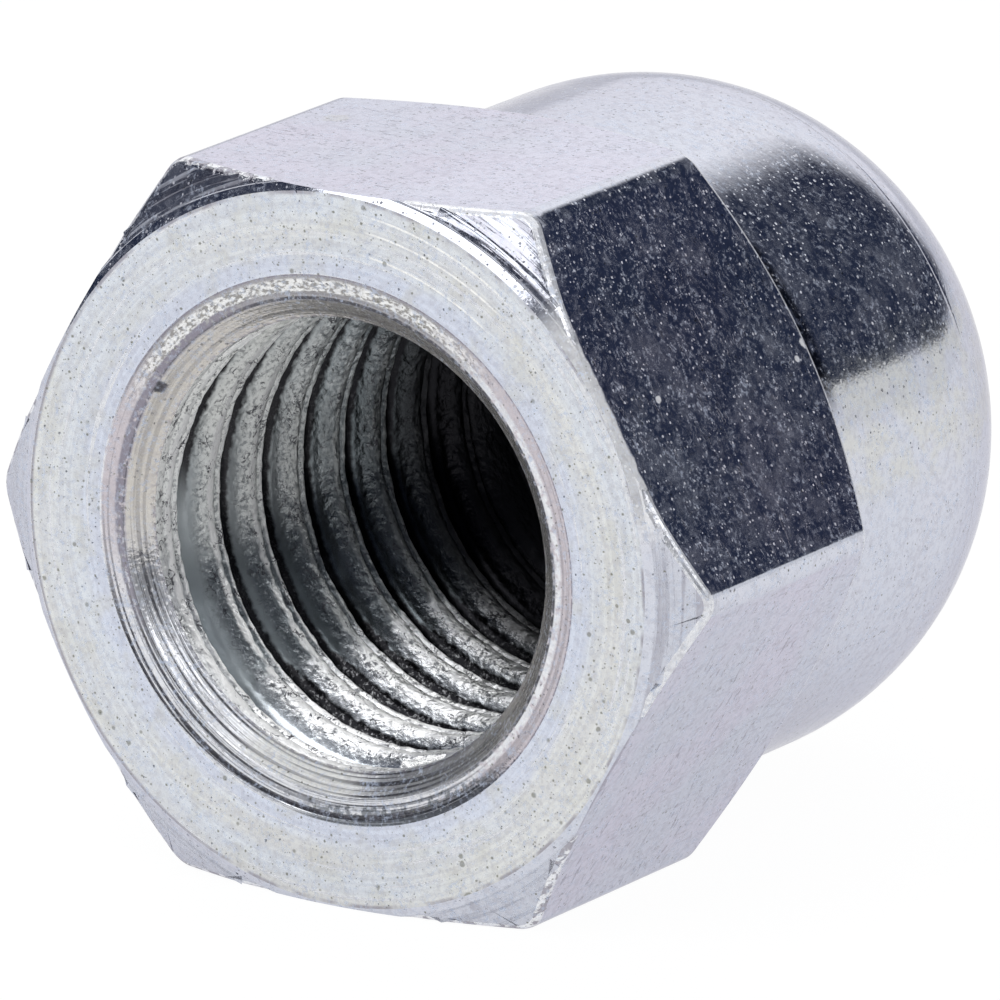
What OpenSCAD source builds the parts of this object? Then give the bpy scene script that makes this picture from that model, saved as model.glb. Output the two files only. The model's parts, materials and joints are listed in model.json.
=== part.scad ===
// Domed cap nut: a hexagon and a closed, domed cap turned from one piece of hexagonal bar,
// with a blind hole for a thread. It lies on one flat with its mouth towards -Y.
// The origin is on the surface it lies on, under the middle of its length.

/* [Hexagon] */
// Width across the flats
across_flats = 17; // [15:0.5:24]
// Length from the bearing face to where the back chamfer meets the cap
hex_length = 8.65; // [5:0.05:11]
// Radius along the six long edges
long_edge_r = 0.6; // [0.1:0.05:0.8]
// How far the turned bearing face stands in from the middle of each flat
bearing_inset = 0.05; // [0.02:0.01:0.5]
// Angle of the front chamfer, measured from the bearing face
front_chamfer_angle = 32; // [15:1:45]
// Angle of the back chamfer, measured from the bearing face
back_chamfer_angle = 40; // [15:1:50]

/* [Cap] */
// Overall length, from the bearing face to the top of the dome
overall_length = 20.4; // [17:0.1:30]
// How far the side of the cap stands in from each flat
cap_inset = 0.25; // [0.1:0.05:0.6]
// Radius of the round shoulder between the side of the cap and the dome
shoulder_r = 6.8; // [3:0.1:8]
// Radius of the dome over the end
dome_r = 12; // [10:0.5:30]
// Metal left between the tip of the drill point and the top of the dome
end_wall = 2.2; // [1:0.1:8]

/* [Threaded hole] */
// Diameter of the hole at the crests of its thread
hole_d = 10.7; // [6:0.05:13]
// Full angle of the drill point
drill_point_angle = 118; // [90:1:140]
// Width of the cone that opens the mouth of the hole
countersink_w = 0.55; // [0.2:0.05:0.8]
// Full angle of that cone
countersink_angle = 90; // [60:5:120]
// Width of the shallow ring turned round the cone
mouth_ring_w = 0.6; // [0.1:0.05:0.8]
// Depth of that ring at its inner edge
mouth_ring_depth = 0.1; // [0.05:0.01:0.3]

/* [Hidden] */

$fn = 96;

flat_count = 6;
half_corner_angle = 180 / flat_count;
// How far a cutting shape runs past the face that it cuts
overrun = 1;
// How far two arcs that follow on from each other cross, so that they meet in one clean edge
arc_crossing = 0.002;

flat_r = across_flats / 2;
corner_r = flat_r / cos(half_corner_angle);
bearing_r = flat_r - bearing_inset;
cap_r = flat_r - cap_inset;

front_chamfer_h = (corner_r - bearing_r) * tan(front_chamfer_angle);
back_chamfer_h = (corner_r - cap_r) * tan(back_chamfer_angle);

// The dome is centred on the axis, and the shoulder's arc is tangent to the cap's side and the dome.
dome_z = overall_length - dome_r;
shoulder_x = cap_r - shoulder_r;
shoulder_z = dome_z + sqrt(pow(dome_r - shoulder_r, 2) - pow(shoulder_x, 2)) + arc_crossing;
// Distance from the axis at which the dome ends and the shoulder begins
dome_edge_x = shoulder_x * dome_r / (dome_r - shoulder_r);

hole_r = hole_d / 2;
cone_r = hole_r + countersink_w;
mouth_ring_r = cone_r + mouth_ring_w;
cone_end_z = mouth_ring_depth + countersink_w / tan(countersink_angle / 2);
drill_tip_z = overall_length - end_wall;
hole_end_z = drill_tip_z - hole_r / tan(drill_point_angle / 2);

// Outline of the bar: a sharp hexagon, trimmed at each corner to a line and a circle that rounds it
module bar_outline() {
    round_depth = long_edge_r - arc_crossing;
    round_x = (flat_r - round_depth) / cos(half_corner_angle);
    trim_x = round_x + round_depth * cos(half_corner_angle);
    intersection() {
        circle(r = corner_r, $fn = flat_count);
        union() {
            rotate(half_corner_angle)
                circle(r = trim_x / cos(half_corner_angle), $fn = flat_count);
            for (i = [0 : flat_count - 1])
                rotate(2 * i * half_corner_angle)
                    translate([round_x, 0])
                        circle(r = long_edge_r);
        }
    }
}

module hexagonal_bar() {
    linear_extrude(height = overall_length)
        bar_outline();
}

// Half section of what the lathe leaves, in X, with the axis along Y
module turned_section() {
    // Both chamfers and the straight side of the cap
    polygon([
        [0, 0],
        [bearing_r, 0],
        [corner_r, front_chamfer_h],
        [corner_r, hex_length - back_chamfer_h],
        [cap_r, hex_length],
        [cap_r, shoulder_z],
        [0, shoulder_z]
    ]);
    // Shoulder and dome
    intersection() {
        translate([0, shoulder_z])
            square([cap_r, dome_r]);
        translate([0, dome_z])
            circle(r = dome_r);
        union() {
            translate([shoulder_x, shoulder_z])
                circle(r = shoulder_r);
            translate([0, shoulder_z])
                square([dome_edge_x, dome_r]);
        }
    }
}

module turned_form() {
    rotate_extrude()
        turned_section();
}

// Blind hole at the crests of the thread, with its mouth ring, countersink and drill point
module threaded_hole() {
    rotate_extrude()
        polygon([
            [0, -overrun],
            [mouth_ring_r, -overrun],
            [mouth_ring_r, 0],
            [cone_r, mouth_ring_depth],
            [hole_r, cone_end_z],
            [hole_r, hole_end_z],
            [0, drill_tip_z]
        ]);
}

// Turns the nut's axis from +Z to +Y and lays it on a flat
module laid_on_a_flat() {
    translate([0, -overall_length / 2, flat_r])
        rotate([-90, 0, 0])
            children();
}

module cap_nut() {
    color([0.76, 0.77, 0.80])
        laid_on_a_flat()
            difference() {
                intersection() {
                    hexagonal_bar();
                    turned_form();
                }
                threaded_hole();
            }
}

cap_nut();
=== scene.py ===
"""A zinc-plated M12 cap nut with 17 mm flats, lying on one flat of its hexagon.

The nut is modelled in millimetres, a thousand times up, and brought down to metres when it is finished.
Its axis runs along Y: the mouth of its hole faces -Y and its dome faces +Y.
"""

import json
import math

import bmesh
import bpy
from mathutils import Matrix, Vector


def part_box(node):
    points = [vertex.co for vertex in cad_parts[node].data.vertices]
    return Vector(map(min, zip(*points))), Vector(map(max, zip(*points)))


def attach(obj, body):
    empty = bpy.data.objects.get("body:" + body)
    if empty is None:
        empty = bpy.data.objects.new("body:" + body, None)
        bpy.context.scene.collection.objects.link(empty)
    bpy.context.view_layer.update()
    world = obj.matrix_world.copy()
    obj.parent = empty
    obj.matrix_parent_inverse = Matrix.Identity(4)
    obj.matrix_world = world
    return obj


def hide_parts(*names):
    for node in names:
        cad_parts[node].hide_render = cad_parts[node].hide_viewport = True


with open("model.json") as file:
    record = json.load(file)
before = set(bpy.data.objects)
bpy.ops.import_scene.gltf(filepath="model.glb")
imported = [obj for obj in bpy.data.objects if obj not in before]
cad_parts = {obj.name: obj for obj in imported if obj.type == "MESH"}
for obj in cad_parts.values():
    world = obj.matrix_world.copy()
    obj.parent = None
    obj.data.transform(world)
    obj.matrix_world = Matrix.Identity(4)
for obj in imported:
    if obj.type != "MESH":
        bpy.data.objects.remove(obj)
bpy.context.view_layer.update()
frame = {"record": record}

MM = 0.001  # metres in a millimetre

# ---------------------------------------------------------------- sizes of the nut, in millimetres

LOW, HIGH = (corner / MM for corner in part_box("cap_nut"))
FLAT_R = (HIGH.z - LOW.z) / 2  # from the axis to each flat
AXIS_Z = (HIGH.z + LOW.z) / 2
MOUTH_Y = LOW.y  # the bearing face
LENGTH = HIGH.y - LOW.y
THREAD = next(m for m in frame["record"]["mounts"] if m["name"] == "thread")
CREST_R = THREAD["dims"]["r_mm"]

CORNER_R = FLAT_R / math.cos(math.radians(30))
LONG_EDGE_R = 0.6
LONG_EDGE_STEPS = 7
FRONT_EDGE_W = 0.15  # rounding of the front edge of each flat, measured across the flat
BACK_EDGE_W = 0.08
EDGE_STEPS = 4
WIDE_CHAMFER = 0.17  # the front edge is rounded where it lies at least this far behind the bearing face

# Outside, as distances from the mouth and radii
HEX_LENGTH = 8.65
BEARING_R = 8.45
FRONT_CHAMFER_ANGLE = 32
BACK_CHAMFER_ANGLE = 40
FIRST_BAND = (8.67, 35)  # the tool left the front chamfer in bands: outer radius and angle of each
SECOND_BAND = (8.93, 23)
CAP_R = FLAT_R - 0.25
SHOULDER_R = 6.8
DOME_R = 12.0

# Mouth of the hole
COUNTERSINK_W = 0.55
MOUTH_RING_W = 0.6
CONE_R = CREST_R + COUNTERSINK_W  # where the cone meets the ring
RING_R = CONE_R + MOUTH_RING_W
MOUTH_RING_DEPTH = 0.1
RING_STEP_W = 0.35  # the outer part of the ring, which takes nearly all of its depth
RING_STEP_DEPTH = 0.088
DRILL_R = CREST_R - 0.1
CONE_END = MOUTH_RING_DEPTH + CONE_R - DRILL_R
DRILL_POINT_ANGLE = 118
END_WALL = 2.2

# Thread, metric coarse, right-hand
PITCH = 1.75
ROOT_R = 6.0
CREST_W = 0.75
RIDGE_R = 0.6  # rounding from the flank that faces the mouth to the crest
RIDGE_STEPS = 8
LIPS = ((0.0, 0.0), (0.08, 0.02), (0.15, 0.055), (0.22, 0.02), (0.28, 0.0), (0.33, 0.02))  # along, down
LAST_LIP_DOWN = 0.09
TORN_DEPTH = 0.06  # the crest is torn down to here, and less and less below it
TEARS = (("waves", 0.9, 0.07), ("tears", 0.22, 0.06))  # size across and height of each unevenness
FLANK_ANGLE = 30
THREAD_START = (0.9, 1.9)  # distances from the mouth over which the groove deepens to its full depth
THREAD_PHASE = 0.33  # moves the whole thread in from the mouth
THREAD_END = 12.7  # where the tap's lead begins to taper in
LEAD_LENGTH = 1.5

TURNS = 11  # of the tap, which starts two turns in front of the mouth
TURN_STEPS = 240  # facets round everything that was turned
THREAD_STEPS = 320  # facets round each turn of the thread


# ---------------------------------------------------------------- modelling by hand


def begin_edit(piece, mode="VERT"):
    """Only this piece is selected and open for editing, with all of its mesh selected."""
    bpy.ops.object.select_all(action="DESELECT")
    bpy.context.view_layer.objects.active = piece
    piece.select_set(True)
    bpy.ops.object.mode_set(mode="EDIT")
    bpy.ops.mesh.select_mode(type=mode)
    bpy.ops.mesh.select_all(action="SELECT")


def end_edit():
    bpy.ops.object.mode_set(mode="OBJECT")


def select_faces(piece, chosen):
    """Selects the faces for which chosen(face) is true, in edit mode, and nothing else."""
    bpy.ops.mesh.select_all(action="DESELECT")
    mesh = bmesh.from_edit_mesh(piece.data)
    for face in mesh.faces:
        if chosen(face):
            face.select_set(True)
    bmesh.update_edit_mesh(piece.data)


def select_edges(piece, chosen):
    """Selects the edges for which chosen(edge) is true, in edit mode, and nothing else."""
    bpy.ops.mesh.select_all(action="DESELECT")
    mesh = bmesh.from_edit_mesh(piece.data)
    for edge in mesh.edges:
        if chosen(edge):
            edge.select_set(True)
    bmesh.update_edit_mesh(piece.data)


def arc(centre, radius, start, end, steps):
    """Points of an arc, with angles in degrees measured from the first axis."""
    points = []
    for i in range(steps + 1):
        angle = math.radians(start + (end - start) * i / steps)
        points.append((centre[0] + radius * math.cos(angle), centre[1] + radius * math.sin(angle)))
    return points


def turned(name, stations, steps=TURN_STEPS):
    """A solid turned about the nut's axis: a disc, extruded and resized from station to station.

    A station is a distance from the mouth and a radius, and the last radius is 0 where it ends in a point.
    """
    bpy.ops.object.select_all(action="DESELECT")
    start, radius = stations[0]
    bpy.ops.mesh.primitive_circle_add(
        vertices=steps,
        radius=radius,
        fill_type="NGON",
        location=(0, MOUTH_Y + start, AXIS_Z),
        rotation=(math.radians(90), 0, 0),
    )
    piece = bpy.context.object
    piece.name = name
    bpy.ops.object.transform_apply(location=True, rotation=True, scale=True)
    begin_edit(piece)
    for (y0, r0), (y1, r1) in zip(stations, stations[1:]):
        bpy.ops.mesh.extrude_region_move(TRANSFORM_OT_translate={"value": (0, y1 - y0, 0)})
        if r1 > 0:
            bpy.ops.transform.resize(
                value=(r1 / r0, 1, r1 / r0), center_override=(0, MOUTH_Y + y1, AXIS_Z)
            )
        else:
            bpy.ops.mesh.merge(type="CENTER")
    bpy.ops.mesh.select_all(action="SELECT")
    bpy.ops.mesh.normals_make_consistent(inside=False)
    end_edit()
    return piece


def combine(piece, tool, operation):
    """Cuts, joins or trims piece with tool, which is used up."""
    bpy.context.view_layer.objects.active = piece
    cut = piece.modifiers.new(tool.name, "BOOLEAN")
    cut.operation = operation
    cut.object = tool
    cut.solver = "EXACT"
    cut.material_mode = "TRANSFER"
    bpy.ops.object.modifier_apply(modifier=cut.name)
    bpy.data.objects.remove(tool)


def slope(angle):
    """Rise for each millimetre along, at an angle in degrees."""
    return math.tan(math.radians(angle))


def front_chamfer_stations():
    """The bearing face's edge and the bands of the front chamfer."""
    y, r = 0.0, BEARING_R
    stations = [(y, r)]
    for outer_r, angle in (FIRST_BAND, SECOND_BAND):
        y += (outer_r - r) * slope(angle)
        r = outer_r
        stations.append((y, r))
    stations.append(((CORNER_R - BEARING_R) * slope(FRONT_CHAMFER_ANGLE), CORNER_R))
    return stations


def outside_stations():
    """The lathe's outline: both chamfers, the side of the cap, its shoulder and its dome."""
    back_h = (CORNER_R - CAP_R) * slope(BACK_CHAMFER_ANGLE)
    dome_centre = LENGTH - DOME_R
    shoulder_x = CAP_R - SHOULDER_R
    shoulder_y = dome_centre + math.sqrt((DOME_R - SHOULDER_R) ** 2 - shoulder_x**2)
    meeting = math.degrees(math.atan2(shoulder_y - dome_centre, shoulder_x))

    stations = front_chamfer_stations()
    stations += [(HEX_LENGTH - back_h, CORNER_R), (HEX_LENGTH, CAP_R)]
    shoulder = arc((shoulder_x, shoulder_y), SHOULDER_R, 0, meeting, 30)
    stations += [(y, r) for r, y in shoulder]
    dome = arc((0, dome_centre), DOME_R, meeting, 90, 12)
    stations += [(y, r) for r, y in dome[1:-1]]
    stations.append((LENGTH, 0))
    return stations


def hole_stations():
    """The mouth ring, countersink and drilled hole, a little inside the crests of the thread."""
    tip = LENGTH - END_WALL
    end = tip - DRILL_R / slope(DRILL_POINT_ANGLE / 2)
    return [
        (-1, RING_R),
        (0, RING_R),
        (RING_STEP_DEPTH, RING_R - RING_STEP_W),
        (MOUTH_RING_DEPTH, CONE_R),
        (CONE_END, DRILL_R),
        (end, DRILL_R),
        (tip, 0),
    ]


def hexagon_bar():
    """Drawn hexagon bar that lies on one flat, longer than the nut, with its long edges rounded."""
    bpy.ops.object.select_all(action="DESELECT")
    bpy.ops.mesh.primitive_cylinder_add(
        vertices=6,
        radius=CORNER_R,
        depth=LENGTH * 1.5,
        location=(0, 0, AXIS_Z),
        rotation=(math.radians(90), math.radians(30), 0),
    )
    bar = bpy.context.object
    bar.name = "nut"
    bpy.ops.object.transform_apply(location=True, rotation=True, scale=True)
    begin_edit(bar, "EDGE")
    select_edges(bar, lambda edge: abs(edge.verts[0].co.y - edge.verts[1].co.y) > LENGTH)
    bpy.ops.mesh.bevel(offset=LONG_EDGE_R * slope(30), segments=LONG_EDGE_STEPS, affect="EDGES")
    end_edit()
    return bar


def is_flat(face):
    """True for a face of the six flats: it faces straight out, at a flat's distance from the axis."""
    centre = face.calc_center_median() - Vector((0, 0, AXIS_Z))
    return abs(face.normal.y) < 0.001 and abs(centre.dot(face.normal) - FLAT_R) < 0.001


def round_ends(nut):
    """Rounds the curved edges at the front and back of the flats, which gives them the worn finish."""
    for side, width in ((-1, FRONT_EDGE_W), (1, BACK_EDGE_W)):

        def at_end(edge):
            facing = sorted(face.normal.y * side for face in edge.link_faces)
            middle_y = (edge.verts[0].co.y + edge.verts[1].co.y) / 2
            within = (middle_y - MOUTH_Y - HEX_LENGTH / 2) * side > 0 and middle_y < MOUTH_Y + HEX_LENGTH
            wide = side > 0 or middle_y > MOUTH_Y + WIDE_CHAMFER
            return within and wide and abs(facing[0]) < 0.001 and facing[1] > 0.1

        begin_edit(nut, "EDGE")
        select_edges(nut, at_end)
        bpy.ops.mesh.remove_doubles(threshold=width * 0.35)
        select_edges(nut, at_end)
        bpy.ops.mesh.bevel(offset=width, segments=EDGE_STEPS, affect="EDGES", clamp_overlap=False, material=1)
        end_edit()


def tap_profile():
    """One pitch of the tap, as radii and distances along: from mid-crest to mid-crest of the nut's thread.

    Each ridge of the nut ends in two fine lips on its far side and is well rounded towards the mouth.
    """
    flank = (ROOT_R - CREST_R) * slope(FLANK_ANGLE)
    half = CREST_W / 2
    profile = [(CREST_R + down, along) for along, down in LIPS]
    profile += [(CREST_R + LAST_LIP_DOWN, half), (ROOT_R, half + flank), (ROOT_R, PITCH - half - flank)]
    centre = (PITCH - half + RIDGE_R * slope(FLANK_ANGLE), CREST_R + RIDGE_R)
    rounding = arc(centre, RIDGE_R, FLANK_ANGLE - 180, -90, RIDGE_STEPS)
    profile += [(r, along) for along, r in rounding]
    return profile + [(CREST_R, PITCH)]


def make_tap():
    """A tap as long as the thread: one pitch of its profile, screwed along the axis."""
    profile = tap_profile()
    bpy.ops.object.select_all(action="DESELECT")
    start_y = MOUTH_Y - 2 * PITCH + THREAD_PHASE
    bpy.ops.mesh.primitive_plane_add(size=1, location=(CREST_R, start_y, AXIS_Z))
    tap = bpy.context.object
    tap.name = "tap"
    bpy.ops.object.transform_apply(location=True, rotation=True, scale=True)
    begin_edit(tap)
    bpy.ops.mesh.merge(type="CENTER")
    for (r0, y0), (r1, y1) in zip(profile, profile[1:]):
        bpy.ops.mesh.extrude_vertices_move(TRANSFORM_OT_translate={"value": (r1 - r0, y1 - y0, 0)})
    end_edit()
    bpy.context.scene.cursor.location = (0, 0, AXIS_Z)
    bpy.ops.object.origin_set(type="ORIGIN_CURSOR")
    screw = tap.modifiers.new("screw", "SCREW")
    screw.axis = "Y"
    screw.steps = THREAD_STEPS
    screw.render_steps = THREAD_STEPS
    screw.screw_offset = PITCH
    screw.iterations = TURNS
    screw.use_merge_vertices = True
    screw.merge_threshold = 0.001
    bpy.ops.object.modifier_apply(modifier=screw.name)
    bpy.ops.object.transform_apply(location=True, rotation=True, scale=True)
    close_ends(tap)
    return tap


def close_ends(tap):
    """Draws each open end of the screwed surface in to a point on the axis."""
    begin_edit(tap, "EDGE")
    bpy.ops.mesh.remove_doubles(threshold=0.0005)
    middle = sum(v.co.y for v in tap.data.vertices) / len(tap.data.vertices)
    for side in (-1, 1):
        bpy.ops.mesh.select_all(action="DESELECT")
        mesh = bmesh.from_edit_mesh(tap.data)
        for edge in mesh.edges:
            if edge.is_boundary and (edge.verts[0].co.y - middle) * side > 0:
                edge.select_set(True)
        bmesh.update_edit_mesh(tap.data)
        bpy.ops.mesh.extrude_region_move(TRANSFORM_OT_translate={"value": (0, 0, 0)})
        bpy.ops.mesh.merge(type="CENTER")
    bpy.ops.mesh.select_all(action="SELECT")
    bpy.ops.mesh.normals_make_consistent(inside=False)
    end_edit()


def tear_crests(tap):
    """The tap tore the crests of the thread: their surface and edges are uneven, their flanks smooth."""
    crests = tap.vertex_groups.new(name="crests")
    for vertex in tap.data.vertices:
        radius = math.hypot(vertex.co.x, vertex.co.z - AXIS_Z)
        weight = 1 - (radius - CREST_R - TORN_DEPTH) / 0.1
        if 0 < weight < 2:
            crests.add([vertex.index], min(weight, 1), "REPLACE")
    for name, size, height in TEARS:
        texture = bpy.data.textures.new(name, "CLOUDS")
        texture.noise_scale = size
        texture.noise_depth = 2
        uneven = tap.modifiers.new(name, "DISPLACE")
        uneven.texture = texture
        uneven.texture_coords = "LOCAL"
        uneven.vertex_group = "crests"
        uneven.strength = height
        bpy.context.view_layer.objects.active = tap
        bpy.ops.object.modifier_apply(modifier=uneven.name)
    tap.vertex_groups.clear()


def grind_tap(tap, finish):
    """Trims the tap so that its thread starts behind the countersink and tapers at its far end."""
    start, full = THREAD_START
    end = THREAD_END + LEAD_LENGTH
    stations = [
        (-2, CREST_R + 0.02),
        (start, CREST_R + 0.02),
        (full, ROOT_R + 0.2),
        (THREAD_END, ROOT_R + 0.2),
        (end, CREST_R - 0.2),
        (end + 0.4, CREST_R - 0.4),
    ]
    ground = turned("ground", stations)
    for part in (tap, ground):
        part.data.materials.append(finish)
    combine(tap, ground, "INTERSECT")


# ---------------------------------------------------------------- finishes


def new_node(tree, kind, inputs=None, **settings):
    """A shader node. An input is a plain value, or the output of another node."""
    node = tree.nodes.new(kind)
    for name, value in settings.items():
        setattr(node, name, value)
    for name, value in (inputs or {}).items():
        if isinstance(value, bpy.types.NodeSocket):
            tree.links.new(value, node.inputs[name])
        else:
            node.inputs[name].default_value = value
    return node


def fade(tree, value, start, end):
    """0 up to start, 1 from end on, and smooth between them. Start may be the greater."""
    node = new_node(
        tree,
        "ShaderNodeMapRange",
        {"Value": value, "From Min": start, "From Max": end},
        interpolation_type="SMOOTHSTEP",
    )
    return node.outputs["Result"]


def blend(tree, factor, first, second):
    """A colour between two, each a colour output or three numbers."""
    ends = [c if isinstance(c, bpy.types.NodeSocket) else (*c, 1) for c in (first, second)]
    node = new_node(
        tree, "ShaderNodeMix", {"Factor": factor, "A": ends[0], "B": ends[1]}, data_type="RGBA"
    )
    return node.outputs["Result"]


EDGE_TINT = (0.75, 0.74, 0.79)  # a plated surface seen along itself is less of a mirror than bare metal


class Finish:
    """The nodes of one metal finish, in millimetres from the middle of the mouth, with Y going in."""

    def __init__(self, name):
        self.material = bpy.data.materials.new(name)
        self.material.use_nodes = True
        self.tree = self.material.node_tree
        self.shader = self.tree.nodes["Principled BSDF"]
        coordinates = self.node("ShaderNodeTexCoord")
        place = self.node(
            "ShaderNodeMapping",
            {
                "Vector": coordinates.outputs["Object"],
                "Scale": (1 / MM, 1 / MM, 1 / MM),
                "Location": (0, -MOUTH_Y, -AXIS_Z),
            },
        )
        self.place = place.outputs["Vector"]
        self.facing = coordinates.outputs["Normal"]
        across = self.vector("MULTIPLY", self.place, (1, 0, 1))
        self.radius = self.node("ShaderNodeVectorMath", {0: across}, operation="LENGTH").outputs["Value"]
        self.outwards = self.vector("NORMALIZE", across)
        parts = self.node("ShaderNodeSeparateXYZ", {"Vector": self.place})
        self.depth = parts.outputs["Y"]

    def node(self, kind, inputs=None, **settings):
        return new_node(self.tree, kind, inputs, **settings)

    def vector(self, operation, first, second=(0, 0, 0)):
        return self.node("ShaderNodeVectorMath", {0: first, 1: second}, operation=operation).outputs["Vector"]

    def scaled(self, vector, amount):
        node = self.node("ShaderNodeVectorMath", {0: vector, "Scale": amount}, operation="SCALE")
        return node.outputs["Vector"]

    def number(self, operation, first, second=0.0):
        return self.node("ShaderNodeMath", {0: first, 1: second}, operation=operation).outputs["Value"]

    def times(self, first, *others):
        """All of these multiplied together, each a plain number or the output of a node."""
        for other in others:
            first = self.number("MULTIPLY", first, other)
        return first

    def plus(self, first, second):
        return self.number("ADD", first, second)

    def minus(self, first, second):
        return self.number("SUBTRACT", first, second)

    def fade(self, value, start, end):
        return fade(self.tree, value, start, end)

    def close_to(self, value, centre, outer, inner):
        """1 where a value is within inner of a centre, and 0 from outer on."""
        return self.fade(self.number("ABSOLUTE", self.minus(value, centre)), outer, inner)

    def blend(self, factor, first, second):
        return blend(self.tree, factor, first, second)

    def lay(self, colour, tint, *masks):
        """The colour with a tint laid over it where all the masks are."""
        return self.blend(self.times(*masks), colour, tint)

    def cloud(self, where, per_mm, detail=2.0, distortion=0.0, harshness=0.5):
        """Noise from 0 to 1."""
        sizes = {"Scale": per_mm, "Detail": detail, "Distortion": distortion, "Roughness": harshness}
        node = self.node("ShaderNodeTexNoise", {"Vector": where, **sizes})
        return node.outputs["Fac"]

    def cloud_colour(self, where, per_mm):
        """Noise with three separate parts, each from 0 to 1."""
        node = self.node("ShaderNodeTexNoise", {"Vector": where, "Scale": per_mm, "Detail": 2})
        return node.outputs["Color"]

    def towards(self, way):
        """From -1 to 1: how far this point lies from the axis in a direction."""
        node = self.node("ShaderNodeVectorMath", {0: self.outwards, 1: way}, operation="DOT_PRODUCT")
        return node.outputs["Value"]

    def side(self, way, start, end):
        """1 on the side of the nut that lies in a direction, fading between two values of towards(way)."""
        return self.fade(self.towards(way), start, end)

    def rings(self, per_mm, round_about, outwards=1):
        """A place for noise that changes fast along the turned profile and slowly round the axis.

        Outwards is 1 where the profile widens from the mouth on, -1 where it narrows and 0 on the flats.
        """
        along = self.times(self.plus(self.times(self.radius, outwards), self.depth), per_mm)
        around = self.scaled(self.outwards, round_about)
        up = self.node("ShaderNodeCombineXYZ", {"Y": along}).outputs["Vector"]
        return self.vector("ADD", around, up)

    def specks(self, where, per_mm, share, size):
        """Small round spots in a share of the cells of a random grid, and a random colour for each cell."""
        cells = self.node("ShaderNodeTexVoronoi", {"Vector": where, "Scale": per_mm})
        pick = self.node("ShaderNodeSeparateColor", {"Color": cells.outputs["Color"]})
        chosen = self.fade(pick.outputs["Red"], share, share - 0.02)
        reach = self.times(self.plus(pick.outputs["Green"], 0.4), size)
        spot = self.fade(self.number("DIVIDE", cells.outputs["Distance"], reach), 1, 0.5)
        return self.times(chosen, spot), cells.outputs["Color"]

    def mark(self, where, size):
        """1 within a ragged spot of a certain size about a place, and 0 outside it."""
        uneven = self.vector("MULTIPLY", self.cloud_colour(self.place, 4), (size, size, size))
        here = self.vector("ADD", self.place, uneven)
        middle = tuple(part + size / 2 for part in where)
        away = self.node("ShaderNodeVectorMath", {0: here, 1: middle}, operation="DISTANCE")
        return self.fade(away.outputs["Value"], size * 1.1, size * 0.7)

    def tilted(self, facing, mask, random, amount):
        """The direction that the surface faces, tilted at random where the mask is."""
        lean = self.scaled(self.vector("SUBTRACT", random, (0.5, 0.5, 0.5)), self.times(mask, amount))
        return self.vector("NORMALIZE", self.vector("ADD", facing, lean))

    def finish(self, colour, metallic, roughness, height, facing):
        """Joins everything to the shader. Height is in millimetres."""
        bump = self.node("ShaderNodeBump", {"Height": height, "Distance": MM, "Normal": facing})
        self.tree.links.new(bump.outputs["Normal"], self.shader.inputs["Normal"])
        self.shader.inputs["Specular Tint"].default_value = (*EDGE_TINT, 1)
        for name, value in (("Base Color", colour), ("Metallic", metallic), ("Roughness", roughness)):
            self.tree.links.new(value, self.shader.inputs[name])
        return self.material


# Colours
WHITE = (1, 1, 1)
WARM_WHITE = (1, 1, 0.98)
SILVER = (0.92, 0.93, 0.95)
LAVENDER = (0.715, 0.70, 0.79)
PALE_LAVENDER = (0.80, 0.80, 0.90)
COOL_GREY = (0.685, 0.71, 0.785)
CAP_GREY = (0.69, 0.705, 0.775)
CHAMFER_GREY = (0.58, 0.595, 0.66)
FACE_COOL = (0.76, 0.80, 0.85)
FACE_WARM = (0.79, 0.80, 0.785)
PALE_BLUE = (0.72, 0.765, 0.87)
MARK_BLUE = (0.62, 0.70, 0.86)
PIT_OLIVE = (0.20, 0.20, 0.16)
PURPLE_GREY = (0.30, 0.28, 0.33)
FURROW = (0.08, 0.08, 0.09)
BEIGE = (0.69, 0.655, 0.60)
PINK_GREY = (0.66, 0.605, 0.635)
# black, for a real speck on the dome and for painted shade in the roots, deep in the hole and in a nook on
# the cap
SOOT_AND_SHADE = (0.012, 0.012, 0.014)
STAIN = (0.70, 0.70, 0.64)
THREAD_GREY = (0.66, 0.66, 0.62)

# Directions from the axis
UP = (0, 0, 1)
DOWN = (0, 0, -1)
LEFT = (-1, 0, 0)
DARK_FLAT = (0.87, 0, 0.5)  # the flat at the upper right, which mirrors the dark room
LOWER_FLAT = (0.87, 0, -0.5)

# The marks that stand out, in millimetres from the middle of the mouth, with their sizes
FACE_PITS = (
    ((3.7, 0, -7.7), 0.16),
    ((3.5, 0, -6.9), 0.08),
    ((1.4, 0, 7.0), 0.07),
    ((-5.8, 0, 5.6), 0.06),
    ((7.7, 0, -0.1), 0.05),
    ((8.0, 0, -0.4), 0.06),
    ((7.2, 0, -3.1), 0.07),
)
CHAMFER_PIT = ((3.75, 0.1, -7.95), 0.2)
FLAT_CHIPS = (((7.4, 8.35, 4.15), 0.15), ((7.55, 7.85, 3.9), 0.09), ((7.4, 2.2, 4.2), 0.11))
DOME_SPECK = ((7.75, 15.4, 2.8), 0.09)
TOP_STAIN = ((-3.7, 5.7, 8.5), 0.35)
MOUTH_BLOT = ((-4.95, 0.2, 3.15), 0.2)
FLAKE = (
    ((0.62, 2.03, -5.5), 0.16),
    ((0.93, 2.1, -5.42), 0.2),
    ((1.22, 2.12, -5.32), 0.2),
    ((1.5, 2.12, -5.2), 0.15),
)
FLAKE_FACES = (0.57, -0.69, 0.45)  # it stands up from the first ridge and faces the front right
FACE_SCORES = (7.16, 7.71, 8.09)  # radii of three bright turned lines at the upper right
SHOULDER_LINE = 15.0  # distance from the mouth of the line round the shoulder


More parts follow.
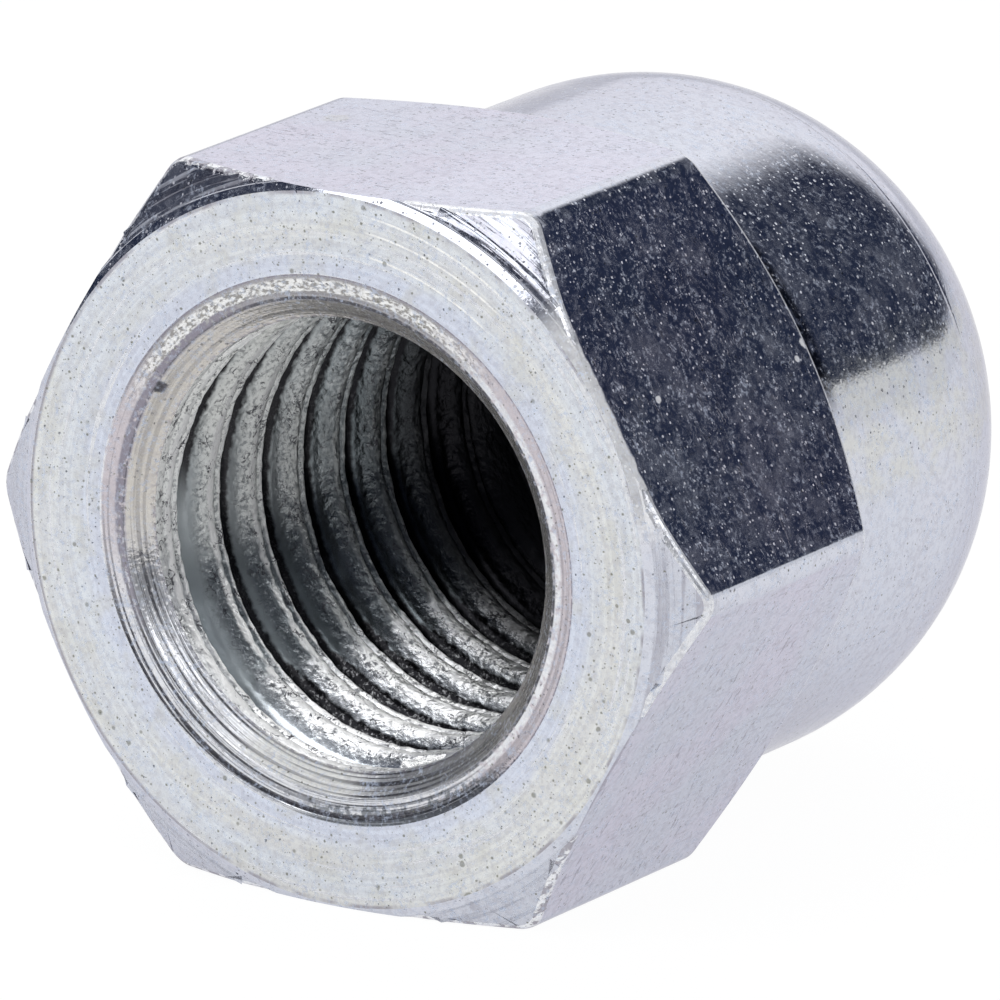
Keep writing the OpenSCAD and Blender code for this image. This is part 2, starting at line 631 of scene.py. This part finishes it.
def zinc_grain(finish, colour, height, pit_share, dulled=0.0, pit_size=1.0, rough=0.003):
    """What all the plated steel has: bright crystals, fine pale marks, a dull haze and dark pits."""
    jolt = finish.vector("MULTIPLY", finish.cloud_colour(finish.place, 9), (0.05, 0.05, 0.05))
    ragged = finish.vector("ADD", finish.place, jolt)
    crystals, ways = finish.specks(ragged, 10, 0.32, 0.36)
    pits = finish.specks(ragged, 7, pit_share, 0.2 * pit_size)[0]
    haze = finish.fade(finish.cloud(finish.place, 1.8), 0.38, 0.68)
    marks = finish.fade(finish.cloud(finish.place, 8, 5, 0.2, 0.72), 0.48, 0.64)
    marks = finish.times(marks, finish.plus(finish.times(haze, 0.7), 0.3))
    mottle = finish.fade(finish.cloud(finish.place, 5, 3, 0, 0.7), 0.46, 0.62)
    colour = finish.lay(colour, PURPLE_GREY, mottle, 0.21)
    colour = finish.lay(colour, MARK_BLUE, marks, 0.7)
    colour = finish.lay(colour, PIT_OLIVE, pits, 0.85)

    clouds = finish.fade(finish.cloud(finish.place, 2.2, 3, 0, 0.6), 0.42, 0.72)
    broad = finish.fade(finish.cloud(finish.place, 0.8, 3, 0, 0.65), 0.46, 0.66)
    dull = finish.plus(finish.times(clouds, 0.09), finish.times(broad, 0.07))
    dull = finish.plus(dull, finish.times(marks, 0.40))
    dull = finish.plus(dull, finish.times(crystals, 0.5))
    metallic = finish.minus(1, finish.plus(dull, dulled))
    roughness = finish.plus(0.09, finish.plus(finish.times(haze, 0.05), finish.times(marks, 0.08)))
    grain = finish.times(finish.cloud(finish.place, 12, 1), rough)
    facing = finish.tilted(finish.facing, crystals, ways, 0.8)
    return finish.finish(colour, metallic, roughness, finish.plus(height, grain), facing)


def plated_flats():
    """Drawn bar under the plating, with short streaks along it."""
    finish = Finish("plated_flats")
    patches = finish.fade(finish.cloud(finish.place, 0.3, 3), 0.35, 0.65)
    colour = finish.blend(patches, LAVENDER, COOL_GREY)
    along = finish.vector("MULTIPLY", finish.place, (6, 0.9, 6))
    streaks = finish.fade(finish.cloud(along, 1.6, 3, 0.5), 0.60, 0.68)
    colour = finish.lay(colour, PURPLE_GREY, streaks, 0.25)
    nicks = finish.fade(finish.cloud(finish.rings(8, 20, 0), 1, 3, 0.3), 0.60, 0.68)
    nicks = finish.times(nicks, finish.fade(finish.cloud(finish.place, 0.9, 3), 0.38, 0.56))
    colour = finish.lay(colour, PURPLE_GREY, nicks, 0.6)
    colour = finish.lay(colour, STAIN, finish.mark(*TOP_STAIN), 0.5)
    height = finish.times(finish.cloud(along, 1.2), 0.003)
    height = finish.minus(height, finish.times(nicks, 0.004))

    # The front edge carries a painted white highlight along the dark flat, with a few white chips, and is
    # frayed on the flat below it
    uneven = finish.times(finish.minus(finish.cloud(finish.place, 4, 4), 0.5), 0.2)
    from_front = finish.plus(finish.depth, uneven)
    chips_and_edge_highlight = finish.times(finish.fade(from_front, 0.40, 0.30), finish.side(DARK_FLAT, 0.8, 0.9))
    for where, size in FLAT_CHIPS:
        chips_and_edge_highlight = finish.plus(chips_and_edge_highlight, finish.mark(where, size))
    frayed = finish.times(finish.fade(from_front, 0.22, 0.12), finish.side(LOWER_FLAT, 0.5, 0.8))
    colour = finish.lay(colour, PURPLE_GREY, frayed, 0.6)

    # The top flat is paler at its right, and the dark flat mirrors most clearly along its top
    lit = finish.side((0.42, 0, 0.91), 0.93, 0.99)
    colour = finish.lay(colour, PALE_LAVENDER, lit, 0.6)
    clear = finish.side((0.64, 0, 0.77), 0.965, 0.995)
    # painted highlight: white along the dark flat's front edge, together with the chips
    colour = finish.lay(colour, WHITE, chips_and_edge_highlight)
    dulled = finish.minus(finish.times(chips_and_edge_highlight, 0.72), finish.times(clear, 0.035))
    return zinc_grain(finish, colour, height, 0.3, dulled, rough=0.0025)


def worn_edge():
    """The front edges of the flats, rubbed, and beside the dark flat dulled to a diffuse white as a painted
    highlight, and the back edges.
    """
    finish = Finish("worn_edge")
    rub = finish.cloud(finish.place, 5, 4)
    # painted highlight: beside the dark flat the edge is dulled to a diffuse white and spared its dents
    rubbed = finish.side(DARK_FLAT, 0.5, 0.8)
    dulled = finish.times(finish.plus(0.3, finish.times(finish.fade(rub, 0.3, 0.6), 0.3)), rubbed)
    dents = finish.fade(finish.cloud(finish.place, 3.2, 6, 0.6), 0.48, 0.58)
    spared = finish.minus(1, finish.times(rubbed, 0.85))
    dents = finish.times(dents, spared, finish.fade(finish.depth, 3, 2))
    colour = finish.lay(SILVER, PURPLE_GREY, dents, 0.8)
    height = finish.minus(finish.times(rub, 0.007), finish.times(dents, 0.02))
    return zinc_grain(finish, colour, height, 0.3, dulled)


def turned_steel():
    """The chamfers and the cap, with the tool's streaks round them and one line round the shoulder."""
    finish = Finish("turned_steel")
    patches = finish.fade(finish.cloud(finish.place, 0.35, 3), 0.35, 0.65)
    colour = finish.blend(patches, COOL_GREY, CAP_GREY)
    in_front = finish.fade(finish.depth, 1.3, 0.9)
    first_r = FIRST_BAND[0]
    on_chamfer = finish.times(in_front, finish.fade(finish.radius, first_r - 0.05, first_r))

    # The tool tore the front chamfer, most of all in its upper part
    streaks = finish.cloud(finish.rings(2.6, 2.4), 1, 3, 0.4)
    upper = finish.side(UP, -0.2, 0.4)
    coarse = finish.times(streaks, on_chamfer, finish.plus(0.012, finish.times(upper, 0.033)))
    torn = finish.times(finish.fade(streaks, 0.49, 0.57), on_chamfer, finish.side((0.4, 0, 0.9), -0.3, 0.5))
    colour = finish.lay(colour, PURPLE_GREY, torn, 0.8)
    scratched = finish.times(finish.fade(finish.cloud(finish.rings(5, 2), 1, 3, 1), 0.52, 0.62), on_chamfer)
    colour = finish.lay(colour, PURPLE_GREY, finish.mark(*CHAMFER_PIT), 0.6)

    # On the cap: a fine line, a stain beside the dark patch, painted shade in the nook behind a corner and a
    # speck
    light = finish.times(finish.cloud(finish.rings(4, 2.5), 1, 3), 0.005)
    line = finish.close_to(finish.depth, SHOULDER_LINE, 0.09, 0.02)
    height = finish.minus(finish.plus(coarse, light), finish.times(line, 0.007))
    beside_patch = finish.times(
        finish.side((0.97, 0, 0.24), 0.965, 0.985),
        finish.fade(finish.depth, HEX_LENGTH, 9),
        finish.fade(finish.cloud(finish.place, 1.2, 4), 0.35, 0.6),
    )
    colour = finish.lay(colour, STAIN, beside_patch, 0.6)
    # painted shade: the crevice on the cap behind the back chamfer is darkened
    painted_nook_shade = finish.times(
        finish.fade(finish.depth, HEX_LENGTH + 0.65, HEX_LENGTH + 0.3),
        finish.fade(finish.depth, HEX_LENGTH - 0.3, HEX_LENGTH),
        finish.side((0.8, 0, 0.6), 0.93, 0.97),
        finish.fade(finish.cloud(finish.place, 3, 4), 0.3, 0.5),
    )
    colour = finish.lay(colour, SOOT_AND_SHADE, painted_nook_shade, 0.9)
    colour = finish.lay(colour, SOOT_AND_SHADE, finish.mark(*DOME_SPECK))

    # The front chamfer is greyer than the cap, and painted white beside the dark flat as a painted highlight
    colour = finish.lay(colour, CHAMFER_GREY, on_chamfer, 0.5)
    # painted highlight on the front chamfer beside the dark flat
    bright = finish.times(in_front, finish.side(DARK_FLAT, 0.93, 0.975))
    colour = finish.lay(colour, WHITE, bright)
    dulled = finish.plus(finish.times(scratched, 0.5), finish.times(on_chamfer, 0.05))
    dulled = finish.number("MAXIMUM", dulled, finish.times(bright, 0.7))
    return zinc_grain(finish, colour, height, 0.2, dulled, rough=0.0014)


def bearing_face():
    """Faced on the lathe: soft bands of tint round it, fine bright grooves, and many small dark pits."""
    finish = Finish("bearing_face")
    bands = finish.fade(finish.cloud(finish.rings(1.1, 0.8), 1, 2), 0.36, 0.62)
    colour = finish.blend(bands, FACE_COOL, FACE_WARM)
    wander = finish.times(finish.minus(finish.cloud(finish.place, 0.5, 3), 0.5), 0.7)
    beside_ring = finish.fade(finish.plus(finish.radius, wander), RING_R + 0.65, RING_R + 0.3)
    colour = finish.lay(colour, PALE_BLUE, beside_ring)
    stains = finish.fade(finish.cloud(finish.place, 1.1, 4), 0.50, 0.66)
    colour = finish.lay(colour, STAIN, stains, 0.45)
    lines = finish.fade(finish.cloud(finish.rings(9, 1.2), 1, 2), 0.35, 0.6)
    colour = finish.lay(colour, PURPLE_GREY, lines, 0.16)

    # A painted dark reflection on the outer edge at the left, broken into patches elsewhere
    edge = finish.fade(finish.radius, BEARING_R - 0.11, BEARING_R - 0.04)
    left = finish.side((-0.95, 0, -0.3), 0.5, 0.8)
    patchy = finish.fade(finish.cloud(finish.place, 1.4, 3), 0.4, 0.6)
    # painted reflection of the dark surroundings in the outer edge
    colour = finish.lay(colour, PURPLE_GREY, edge, finish.number("MAXIMUM", left, patchy), 0.75)

    grooves = finish.fade(finish.cloud(finish.rings(5.5, 0.9), 1, 2), 0.60, 0.66)
    colour = finish.lay(colour, SILVER, grooves)
    upper_right = finish.side((0.36, 0, 0.93), 0.955, 0.985)
    for radius in FACE_SCORES:
        score = finish.close_to(finish.radius, radius, 0.035, 0.012)
        colour = finish.lay(colour, (1, 1, 0.97), score, upper_right)
    large = finish.specks(finish.place, 2.6, 0.27, 0.16)[0]
    colour = finish.lay(colour, PIT_OLIVE, large, 0.7)
    for where, size in FACE_PITS:
        colour = finish.lay(colour, PIT_OLIVE, finish.mark(where, size), 0.7)
    light = finish.times(finish.cloud(finish.rings(9, 2), 1, 3), 0.006)
    return zinc_grain(finish, colour, light, 0.9, finish.times(grooves, 0.6), pit_size=1.35)


def countersunk_mouth():
    """The ring and the cone at the mouth, with the countersink's chatter round the lower left."""
    finish = Finish("countersunk_mouth")
    step_r = RING_R - RING_STEP_W
    on_ring = finish.fade(finish.depth, MOUTH_RING_DEPTH + 0.05, MOUTH_RING_DEPTH)
    off_ring = finish.minus(1, on_ring)
    rough = finish.cloud(finish.place, 7, 4)
    colour = finish.blend(on_ring, BEIGE, PINK_GREY)

    # The ring is rubbed inside its step and mottled at the top, with a rim outside and a dark lip inside
    rubbed = finish.times(on_ring, finish.fade(finish.radius, step_r + 0.02, step_r - 0.05))
    rubbed_colour = finish.blend(finish.side(LEFT, 0, 0.7), SILVER, PURPLE_GREY)
    colour = finish.lay(colour, rubbed_colour, rubbed, finish.fade(rough, 0.30, 0.5))
    scuffs = finish.cloud(finish.rings(15, 40), 1, 6, 0, 0.6)
    mottled = finish.blend(finish.fade(scuffs, 0.42, 0.56), (0.36, 0.35, 0.33), WARM_WHITE)
    worn = finish.close_to(finish.radius, step_r + 0.08, 0.2, 0.12)
    mottled = finish.blend(worn, (0.42, 0.41, 0.42), mottled)
    colour = finish.lay(colour, mottled, on_ring, finish.side((-0.2, 0, 0.98), 0.5, 0.85))
    rim = finish.fade(finish.radius, RING_R - 0.06, RING_R - 0.02)
    rim_colour = finish.blend(finish.side((-0.8, 0, -0.6), 0.3, 0.7), PURPLE_GREY, SILVER)
    colour = finish.lay(colour, rim_colour, rim, finish.fade(rough, 0.35, 0.5))
    lip = finish.close_to(finish.radius, CONE_R + 0.03, 0.05, 0.02)
    colour = finish.lay(colour, FURROW, lip, finish.fade(rough, 0.3, 0.5))

    # Below, the cone is painted lighter in silver as painted light, with a painted white glare and painted
    # shade to the right, and the ring's outer part is painted dark as a painted reflection
    low = finish.side((-0.4, 0, -0.92), 0.33, 0.85)
    # painted light: the lower side of the cone is lighter
    colour = finish.lay(colour, SILVER, low)
    glare = finish.times(finish.side((-0.2, 0, -0.98), 0.94, 0.985), off_ring)
    # painted highlight: the white glare at the bottom of the cone
    colour = finish.lay(colour, (1, 1, 0.96), glare)
    dim = finish.times(finish.side((0.5, 0, -0.87), 0.92, 0.98), off_ring)
    # painted shade at the lower right of the cone
    colour = finish.lay(colour, (0.30, 0.31, 0.31), dim, 0.6)
    outer_part = finish.fade(finish.plus(finish.radius, rough), step_r + 0.45, step_r + 0.6)
    below = finish.times(finish.side((0.31, 0, -0.95), 0.85, 0.94), on_ring, outer_part)
    # painted reflection: the ring's outer part darkened below
    colour = finish.lay(colour, (0.17, 0.19, 0.21), below, 0.85)

    # Furrows of chatter, dark at the lower left and faint elsewhere, then the blot and the torn edge
    cuts = finish.cloud(finish.rings(6.5, 0.6, -1), 1, 2)
    furrows = finish.times(finish.fade(cuts, 0.47, 0.41), finish.plus(0.3, finish.times(low, 0.68)))
    colour = finish.lay(colour, FURROW, furrows, finish.minus(1, finish.times(glare, 0.4)))
    colour = finish.lay(colour, FURROW, finish.mark(*MOUTH_BLOT))
    band = finish.close_to(finish.radius, CONE_R + 0.11, 0.12, 0.07)
    band = finish.times(band, finish.side((-0.94, 0, 0.34), 0.6, 0.85))
    colour = finish.lay(colour, PURPLE_GREY, band, finish.fade(rough, 0.38, 0.5))
    torn = finish.fade(finish.depth, 0.5, 0.7)
    colour = finish.lay(colour, PURPLE_GREY, torn, finish.fade(rough, 0.45, 0.6))
    chatter = finish.times(cuts, finish.plus(0.012, finish.times(low, 0.06)))
    tears = finish.times(rough, finish.plus(0.01, finish.times(torn, 0.04)))
    dulled = finish.plus(finish.plus(0.3, finish.times(low, 0.15)), finish.times(glare, 0.5))
    return zinc_grain(finish, colour, finish.plus(chatter, tears), 0.3, dulled)


def cut_thread():
    """Smooth slate flanks that lighten to torn, mottled crests, and roots painted black as painted shade,
    with painted light near the mouth and below.
    """
    finish = Finish("cut_thread")
    uneven = finish.cloud(finish.place, 5, 4)
    fine = finish.cloud(finish.place, 9, 6, 0, 0.6)
    patchy = finish.times(finish.minus(finish.cloud(finish.place, 1.8, 4, 0.5), 0.5), 0.3)

    # Where it is: round the axis, how far in, and on crest, flank or root
    below = finish.fade(finish.plus(finish.towards(DOWN), patchy), 0.70, 0.86)
    above = finish.side((-0.5, 0, 0.87), 0.3, 0.85)
    near = finish.fade(finish.depth, 7, 2)
    first_turns = finish.fade(finish.depth, 6.5, 4.5)
    deep = finish.fade(finish.depth, 8, 12.5)
    slate = finish.times(finish.side((-0.91, 0, -0.42), 0.70, 0.90), finish.minus(1, below))
    upper_left = finish.times(finish.side((-0.97, 0, 0.26), 0.80, 0.94), finish.fade(finish.depth, 9, 4.5))
    radius = finish.plus(finish.radius, finish.times(finish.minus(uneven, 0.5), 0.18))
    on_crest = finish.fade(radius, CREST_R + 0.34, CREST_R + 0.02)
    rise = finish.fade(finish.radius, CREST_R + 0.4, CREST_R + 0.05)
    root_r = finish.minus(ROOT_R - 0.24, finish.plus(finish.times(above, 0.14), finish.times(below, 0.17)))
    in_root = finish.fade(finish.minus(radius, root_r), -0.06, 0.04)
    in_root = finish.times(in_root, finish.fade(finish.plus(finish.depth, above), 2.3, 3.0))

    # Flanks: darker towards the root as painted shade, grey above near the mouth as painted light, pale below
    # as a painted highlight, and slate at the lower left that darkens deeper in as painted shade, lighter at
    # the upper left as painted light
    # painted shade: the flank darkens towards the root
    flank = finish.blend(rise, (0.15, 0.175, 0.19), (0.33, 0.37, 0.39))
    # painted light: grey above, near the mouth
    flank = finish.lay(flank, THREAD_GREY, above, near, rise)
    # painted highlight: pale below, where the key light is mirrored
    flank = finish.lay(flank, (0.80, 0.85, 0.90), below)
    # painted shade: the slate darkens deeper in
    smooth = finish.blend(finish.fade(finish.depth, 2.8, 5.0), (0.50, 0.55, 0.57), (0.20, 0.23, 0.245))
    flank = finish.lay(flank, smooth, slate)
    # painted light: lighter at the upper left, near the mouth
    flank = finish.lay(flank, (0.80, 0.84, 0.84), upper_left, 0.4)

    # Crests: mottled, dotted at the lower left and darker deeper in as painted shade, grey above near the
    # mouth as painted light, torn and painted white below and near the mouth as a painted highlight, and
    # pitted at the upper left
    crest = finish.blend(finish.fade(fine, 0.42, 0.64), (0.20, 0.22, 0.235), (0.55, 0.58, 0.59))
    # painted light: grey above, near the mouth
    crest = finish.lay(crest, THREAD_GREY, above, near, 0.6)
    dotted = finish.blend(finish.fade(fine, 0.56, 0.66), (0.15, 0.17, 0.18), (0.60, 0.63, 0.64))
    # painted shade: the dots darken deeper in
    dotted = finish.lay(dotted, (0.06, 0.07, 0.075), finish.fade(finish.depth, 3.5, 6), 0.6)
    crest = finish.lay(crest, dotted, slate, 0.85)
    torn = finish.blend(finish.fade(fine, 0.41, 0.54), (0.10, 0.10, 0.105), (0.98, 0.98, 0.96))
    torn = finish.lay(torn, WHITE, finish.fade(finish.cloud(finish.place, 1.6, 4), 0.42, 0.54))
    # painted highlight: torn crests white below and near the mouth
    light = finish.number("MAXIMUM", below, finish.times(finish.fade(finish.depth, 2.6, 1.6), 0.6))
    crest = finish.lay(crest, torn, light)
    pitted = finish.blend(finish.fade(fine, 0.40, 0.50), (0.30, 0.31, 0.31), (0.95, 0.96, 0.93))
    crest = finish.lay(crest, pitted, upper_left, 0.68)

    # Both together, with painted highlights on the lips, dark curls, roots and far end painted black as
    # painted shade, and the flake on top
    colour = finish.lay(flank, crest, on_crest, 0.9)
    # painted highlight on the lips, strongest near the mouth
    bright = finish.plus(0.2, finish.plus(finish.times(near, 0.4), finish.times(first_turns, 0.4)))
    lips = finish.times(finish.fade(finish.radius, CREST_R + 0.03, CREST_R), bright)
    colour = finish.lay(colour, finish.blend(first_turns, (0.88, 0.88, 0.84), WARM_WHITE), lips)
    curls = finish.close_to(finish.cloud(finish.place, 3.5, 2, 1.2), 0.5, 0.03, 0.012)
    curls = finish.times(curls, finish.fade(finish.cloud(finish.place, 2.2, 2), 0.5, 0.56))
    colour = finish.lay(colour, FURROW, curls, rise)
    specks = finish.fade(finish.cloud(finish.place, 12, 4, 0.6, 0.7), 0.52, 0.66)
    specks = finish.times(specks, finish.plus(0.05, finish.times(below, 0.2)))
    # painted shade: the roots black, with a few specks
    colour = finish.lay(colour, finish.blend(specks, SOOT_AND_SHADE, SILVER), in_root)
    # painted shade: black deep in the hole
    colour = finish.lay(colour, SOOT_AND_SHADE, deep)
    flake = 0.0
    for where, size in FLAKE:
        flake = finish.plus(flake, finish.mark(where, size))
    colour = finish.lay(colour, WARM_WHITE, flake)

    roughness = finish.plus(0.18, finish.times(on_crest, 0.1))
    tears = finish.times(uneven, finish.plus(0.004, finish.times(rise, 0.03)))
    smooth_slate = finish.times(slate, finish.minus(1, on_crest), finish.fade(finish.depth, 9, 4))
    metallic = finish.minus(0.92, finish.plus(finish.times(on_crest, 0.2), finish.times(lips, 0.45)))
    metallic = finish.minus(metallic, finish.times(smooth_slate, 0.5))
    metallic = finish.minus(metallic, finish.times(upper_left, 0.3))

    # The ridges are shaded as if they leaned towards the mouth, and the flake as if it stood up
    forwards = finish.node("ShaderNodeCombineXYZ", {"Y": finish.times(rise, -1.0)}).outputs["Vector"]
    lean = finish.vector("ADD", forwards, finish.scaled(FLAKE_FACES, finish.times(flake, 6)))
    facing = finish.vector("NORMALIZE", finish.vector("ADD", finish.facing, lean))
    return finish.finish(colour, metallic, roughness, tears, facing)


# ---------------------------------------------------------------- the nut


def give_finishes(nut):
    """The flats and the bearing face look different from the turned steel."""
    nut.data.materials.append(plated_flats())
    nut.data.materials.append(bearing_face())
    begin_edit(nut, "FACE")
    select_faces(nut, is_flat)
    nut.active_material_index = 2
    bpy.ops.object.material_slot_assign()
    select_faces(nut, lambda face: face.normal.y < -0.999)
    nut.active_material_index = 3
    bpy.ops.object.material_slot_assign()
    end_edit()


def make_drill(mouth, thread):
    """The drill and countersink in one. What they cut below the countersink looks like the thread."""
    drill = turned("drill", hole_stations())
    drill.data.materials.append(mouth)
    drill.data.materials.append(thread)
    begin_edit(drill, "FACE")
    select_faces(drill, lambda face: face.calc_center_median().y > MOUTH_Y + CONE_END)
    drill.active_material_index = 1
    bpy.ops.object.material_slot_assign()
    end_edit()
    return drill


def shade(nut, thread_name):
    """Smooth all over, with crisp edges where it was turned, and only the sharpest crisp in the thread."""
    names = [slot.material.name for slot in nut.material_slots]
    begin_edit(nut, "FACE")
    bpy.ops.mesh.faces_shade_smooth()
    for in_thread, sharpness in ((False, 12), (True, 40)):
        select_faces(nut, lambda face: (names[face.material_index] == thread_name) != in_thread)
        bpy.ops.mesh.hide(unselected=False)
        bpy.ops.mesh.select_mode(type="EDGE")
        bpy.ops.mesh.select_all(action="DESELECT")
        bpy.ops.mesh.edges_select_sharp(sharpness=math.radians(sharpness))
        bpy.ops.mesh.mark_sharp()
        bpy.ops.mesh.reveal(select=False)
        bpy.ops.mesh.select_mode(type="FACE")
    end_edit()


def even_shading(nut):
    """Large faces decide how the roundings beside them are shaded."""
    bpy.context.view_layer.objects.active = nut
    weighted = nut.modifiers.new("shading", "WEIGHTED_NORMAL")
    weighted.keep_sharp = True
    bpy.ops.object.modifier_apply(modifier=weighted.name)


def make_nut():
    nut = hexagon_bar()
    outline = turned("outline", outside_stations())
    steel = turned_steel()
    for part in (nut, outline):
        part.data.materials.append(steel)
    combine(nut, outline, "INTERSECT")
    nut.data.materials.append(worn_edge())
    round_ends(nut)
    give_finishes(nut)
    mouth, thread = countersunk_mouth(), cut_thread()
    combine(nut, make_drill(mouth, thread), "DIFFERENCE")
    tap = make_tap()
    tear_crests(tap)
    grind_tap(tap, thread)
    combine(nut, tap, "DIFFERENCE")
    shade(nut, thread.name)
    bpy.ops.transform.resize(value=(MM, MM, MM), center_override=(0, 0, 0))
    bpy.ops.object.transform_apply(location=True, rotation=True, scale=True)
    even_shading(nut)
    return nut


# ---------------------------------------------------------------- studio

CAMERA_AIM = Vector((3.01, -7.86, 9.63)) * MM
CAMERA_AZIMUTH, CAMERA_ELEVATION = 33.1, 15.62
CAMERA_DISTANCE = 0.4032
PAPER_GLOW = 1.03  # how bright the paper's own whiteness is
SEEN_GLOW, MIRRORED_GLOW = 0.93, 0.70  # the share of it that the camera sees, and that metal mirrors
DARK_ROOM = (0.022, 0.030, 0.058)
PALE_WALL = (1.14, 1.14, 1.14)
PAPER_SWEEP = (0.80, 0.81, 0.83)

# Azimuth and elevation, distance in metres, width and height in metres, and brightness
SOFTBOXES = (
    ("overhead_softbox", 0, 88, 1.2, 1.8, 1.8, 0.88),
    ("key_softbox", -18, 41, 1.0, 0.85, 0.45, 2.0),
    ("right_softbox", 82, 30, 1.0, 0.9, 0.3, 1.3),
    ("front_right_softbox", 47, 38, 1.0, 0.6, 0.4, 1.8),
)


def towards(azimuth, elevation):
    """Direction from the nut. Azimuth 0 is at -Y, in front of the mouth, and 90 is at +X."""
    a, e = math.radians(azimuth), math.radians(elevation)
    return Vector((math.sin(a) * math.cos(e), -math.cos(a) * math.cos(e), math.sin(e)))


def softbox(name, azimuth, elevation, distance, width, height, brightness):
    """A flat lamp that faces the nut. Brightness 1 looks white in a mirror."""
    data = bpy.data.lights.new(name, "AREA")
    data.shape = "RECTANGLE"
    data.size, data.size_y = width, height
    data.energy = brightness * math.pi * width * height
    lamp = bpy.data.objects.new(name, data)
    way = towards(azimuth, elevation)
    lamp.location = Vector((0, 0, AXIS_Z * MM)) + way * distance
    lamp.rotation_euler = way.to_track_quat("Z", "Y").to_euler()
    bpy.context.scene.collection.objects.link(lamp)


def make_camera():
    """A long lens at the front right, a little above the nut."""
    data = bpy.data.cameras.new("camera")
    data.sensor_width = 36
    data.lens = 634
    data.clip_start, data.clip_end = 0.01, 20
    camera = bpy.data.objects.new("camera", data)
    back = towards(CAMERA_AZIMUTH, CAMERA_ELEVATION)
    camera.location = CAMERA_AIM + back * CAMERA_DISTANCE
    camera.rotation_euler = back.to_track_quat("Z", "Y").to_euler()
    bpy.context.scene.collection.objects.link(camera)
    bpy.context.scene.camera = camera


def calculate(tree, operation, first, second):
    return new_node(tree, "ShaderNodeMath", {0: first, 1: second}, operation=operation).outputs["Value"]


def own_brightness(tree):
    """How much of the paper's whiteness is its own: most for the camera, and some for metal and glass."""
    path = new_node(tree, "ShaderNodeLightPath").outputs
    mirrored = calculate(tree, "MAXIMUM", path["Is Glossy Ray"], path["Is Transmission Ray"])
    some = calculate(tree, "MULTIPLY", mirrored, MIRRORED_GLOW)
    most = calculate(tree, "MULTIPLY", path["Is Camera Ray"], SEEN_GLOW)
    return calculate(tree, "MAXIMUM", some, most)


def make_floor():
    """White paper, nearly as white as it can look, that still shows the nut's shadow."""
    bpy.ops.object.select_all(action="DESELECT")
    bpy.ops.mesh.primitive_plane_add(size=8, location=(0, 0, 0))
    floor = bpy.context.object
    floor.name = "floor"
    material = bpy.data.materials.new("white_paper")
    material.use_nodes = True
    tree = material.node_tree
    shader = tree.nodes["Principled BSDF"]
    shader.inputs["Base Color"].default_value = (0.92, 0.92, 0.92, 1)
    shader.inputs["Roughness"].default_value = 0.9
    white = new_node(tree, "ShaderNodeEmission", {"Color": (1, 1, 1, 1), "Strength": PAPER_GLOW})
    surface = new_node(
        tree,
        "ShaderNodeMixShader",
        {0: own_brightness(tree), 1: shader.outputs["BSDF"], 2: white.outputs["Emission"]},
    )
    tree.links.new(surface.outputs["Shader"], tree.nodes["Material Output"].inputs["Surface"])
    floor.data.materials.append(material)


def make_room():
    """A dark studio with paper swept up behind the nut and a pale wall at the back left."""
    world = bpy.data.worlds.new("room")
    world.use_nodes = True
    bpy.context.scene.world = world
    tree = world.node_tree
    way = new_node(tree, "ShaderNodeTexCoord").outputs["Generated"]
    x, y, z = new_node(tree, "ShaderNodeSeparateXYZ", {"Vector": way}).outputs
    behind = fade(tree, y, 0, 0.3)
    left = fade(tree, x, 0.05, -0.17)
    height = calculate(tree, "ADD", z, calculate(tree, "MULTIPLY", y, 0.55))
    low = fade(tree, height, 0.61, 0.585)
    room = blend(tree, calculate(tree, "MULTIPLY", left, behind), DARK_ROOM, PALE_WALL)
    room = blend(tree, calculate(tree, "MULTIPLY", low, behind), room, PAPER_SWEEP)
    seen = new_node(tree, "ShaderNodeLightPath").outputs["Is Camera Ray"]
    colour = blend(tree, seen, room, WHITE)
    tree.links.new(colour, tree.nodes["Background"].inputs["Color"])


nut = make_nut()
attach(nut, "root")
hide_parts("cap_nut")

make_floor()
make_room()
for settings in SOFTBOXES:
    softbox(*settings)
make_camera()

bpy.context.scene.view_settings.view_transform = "Standard"
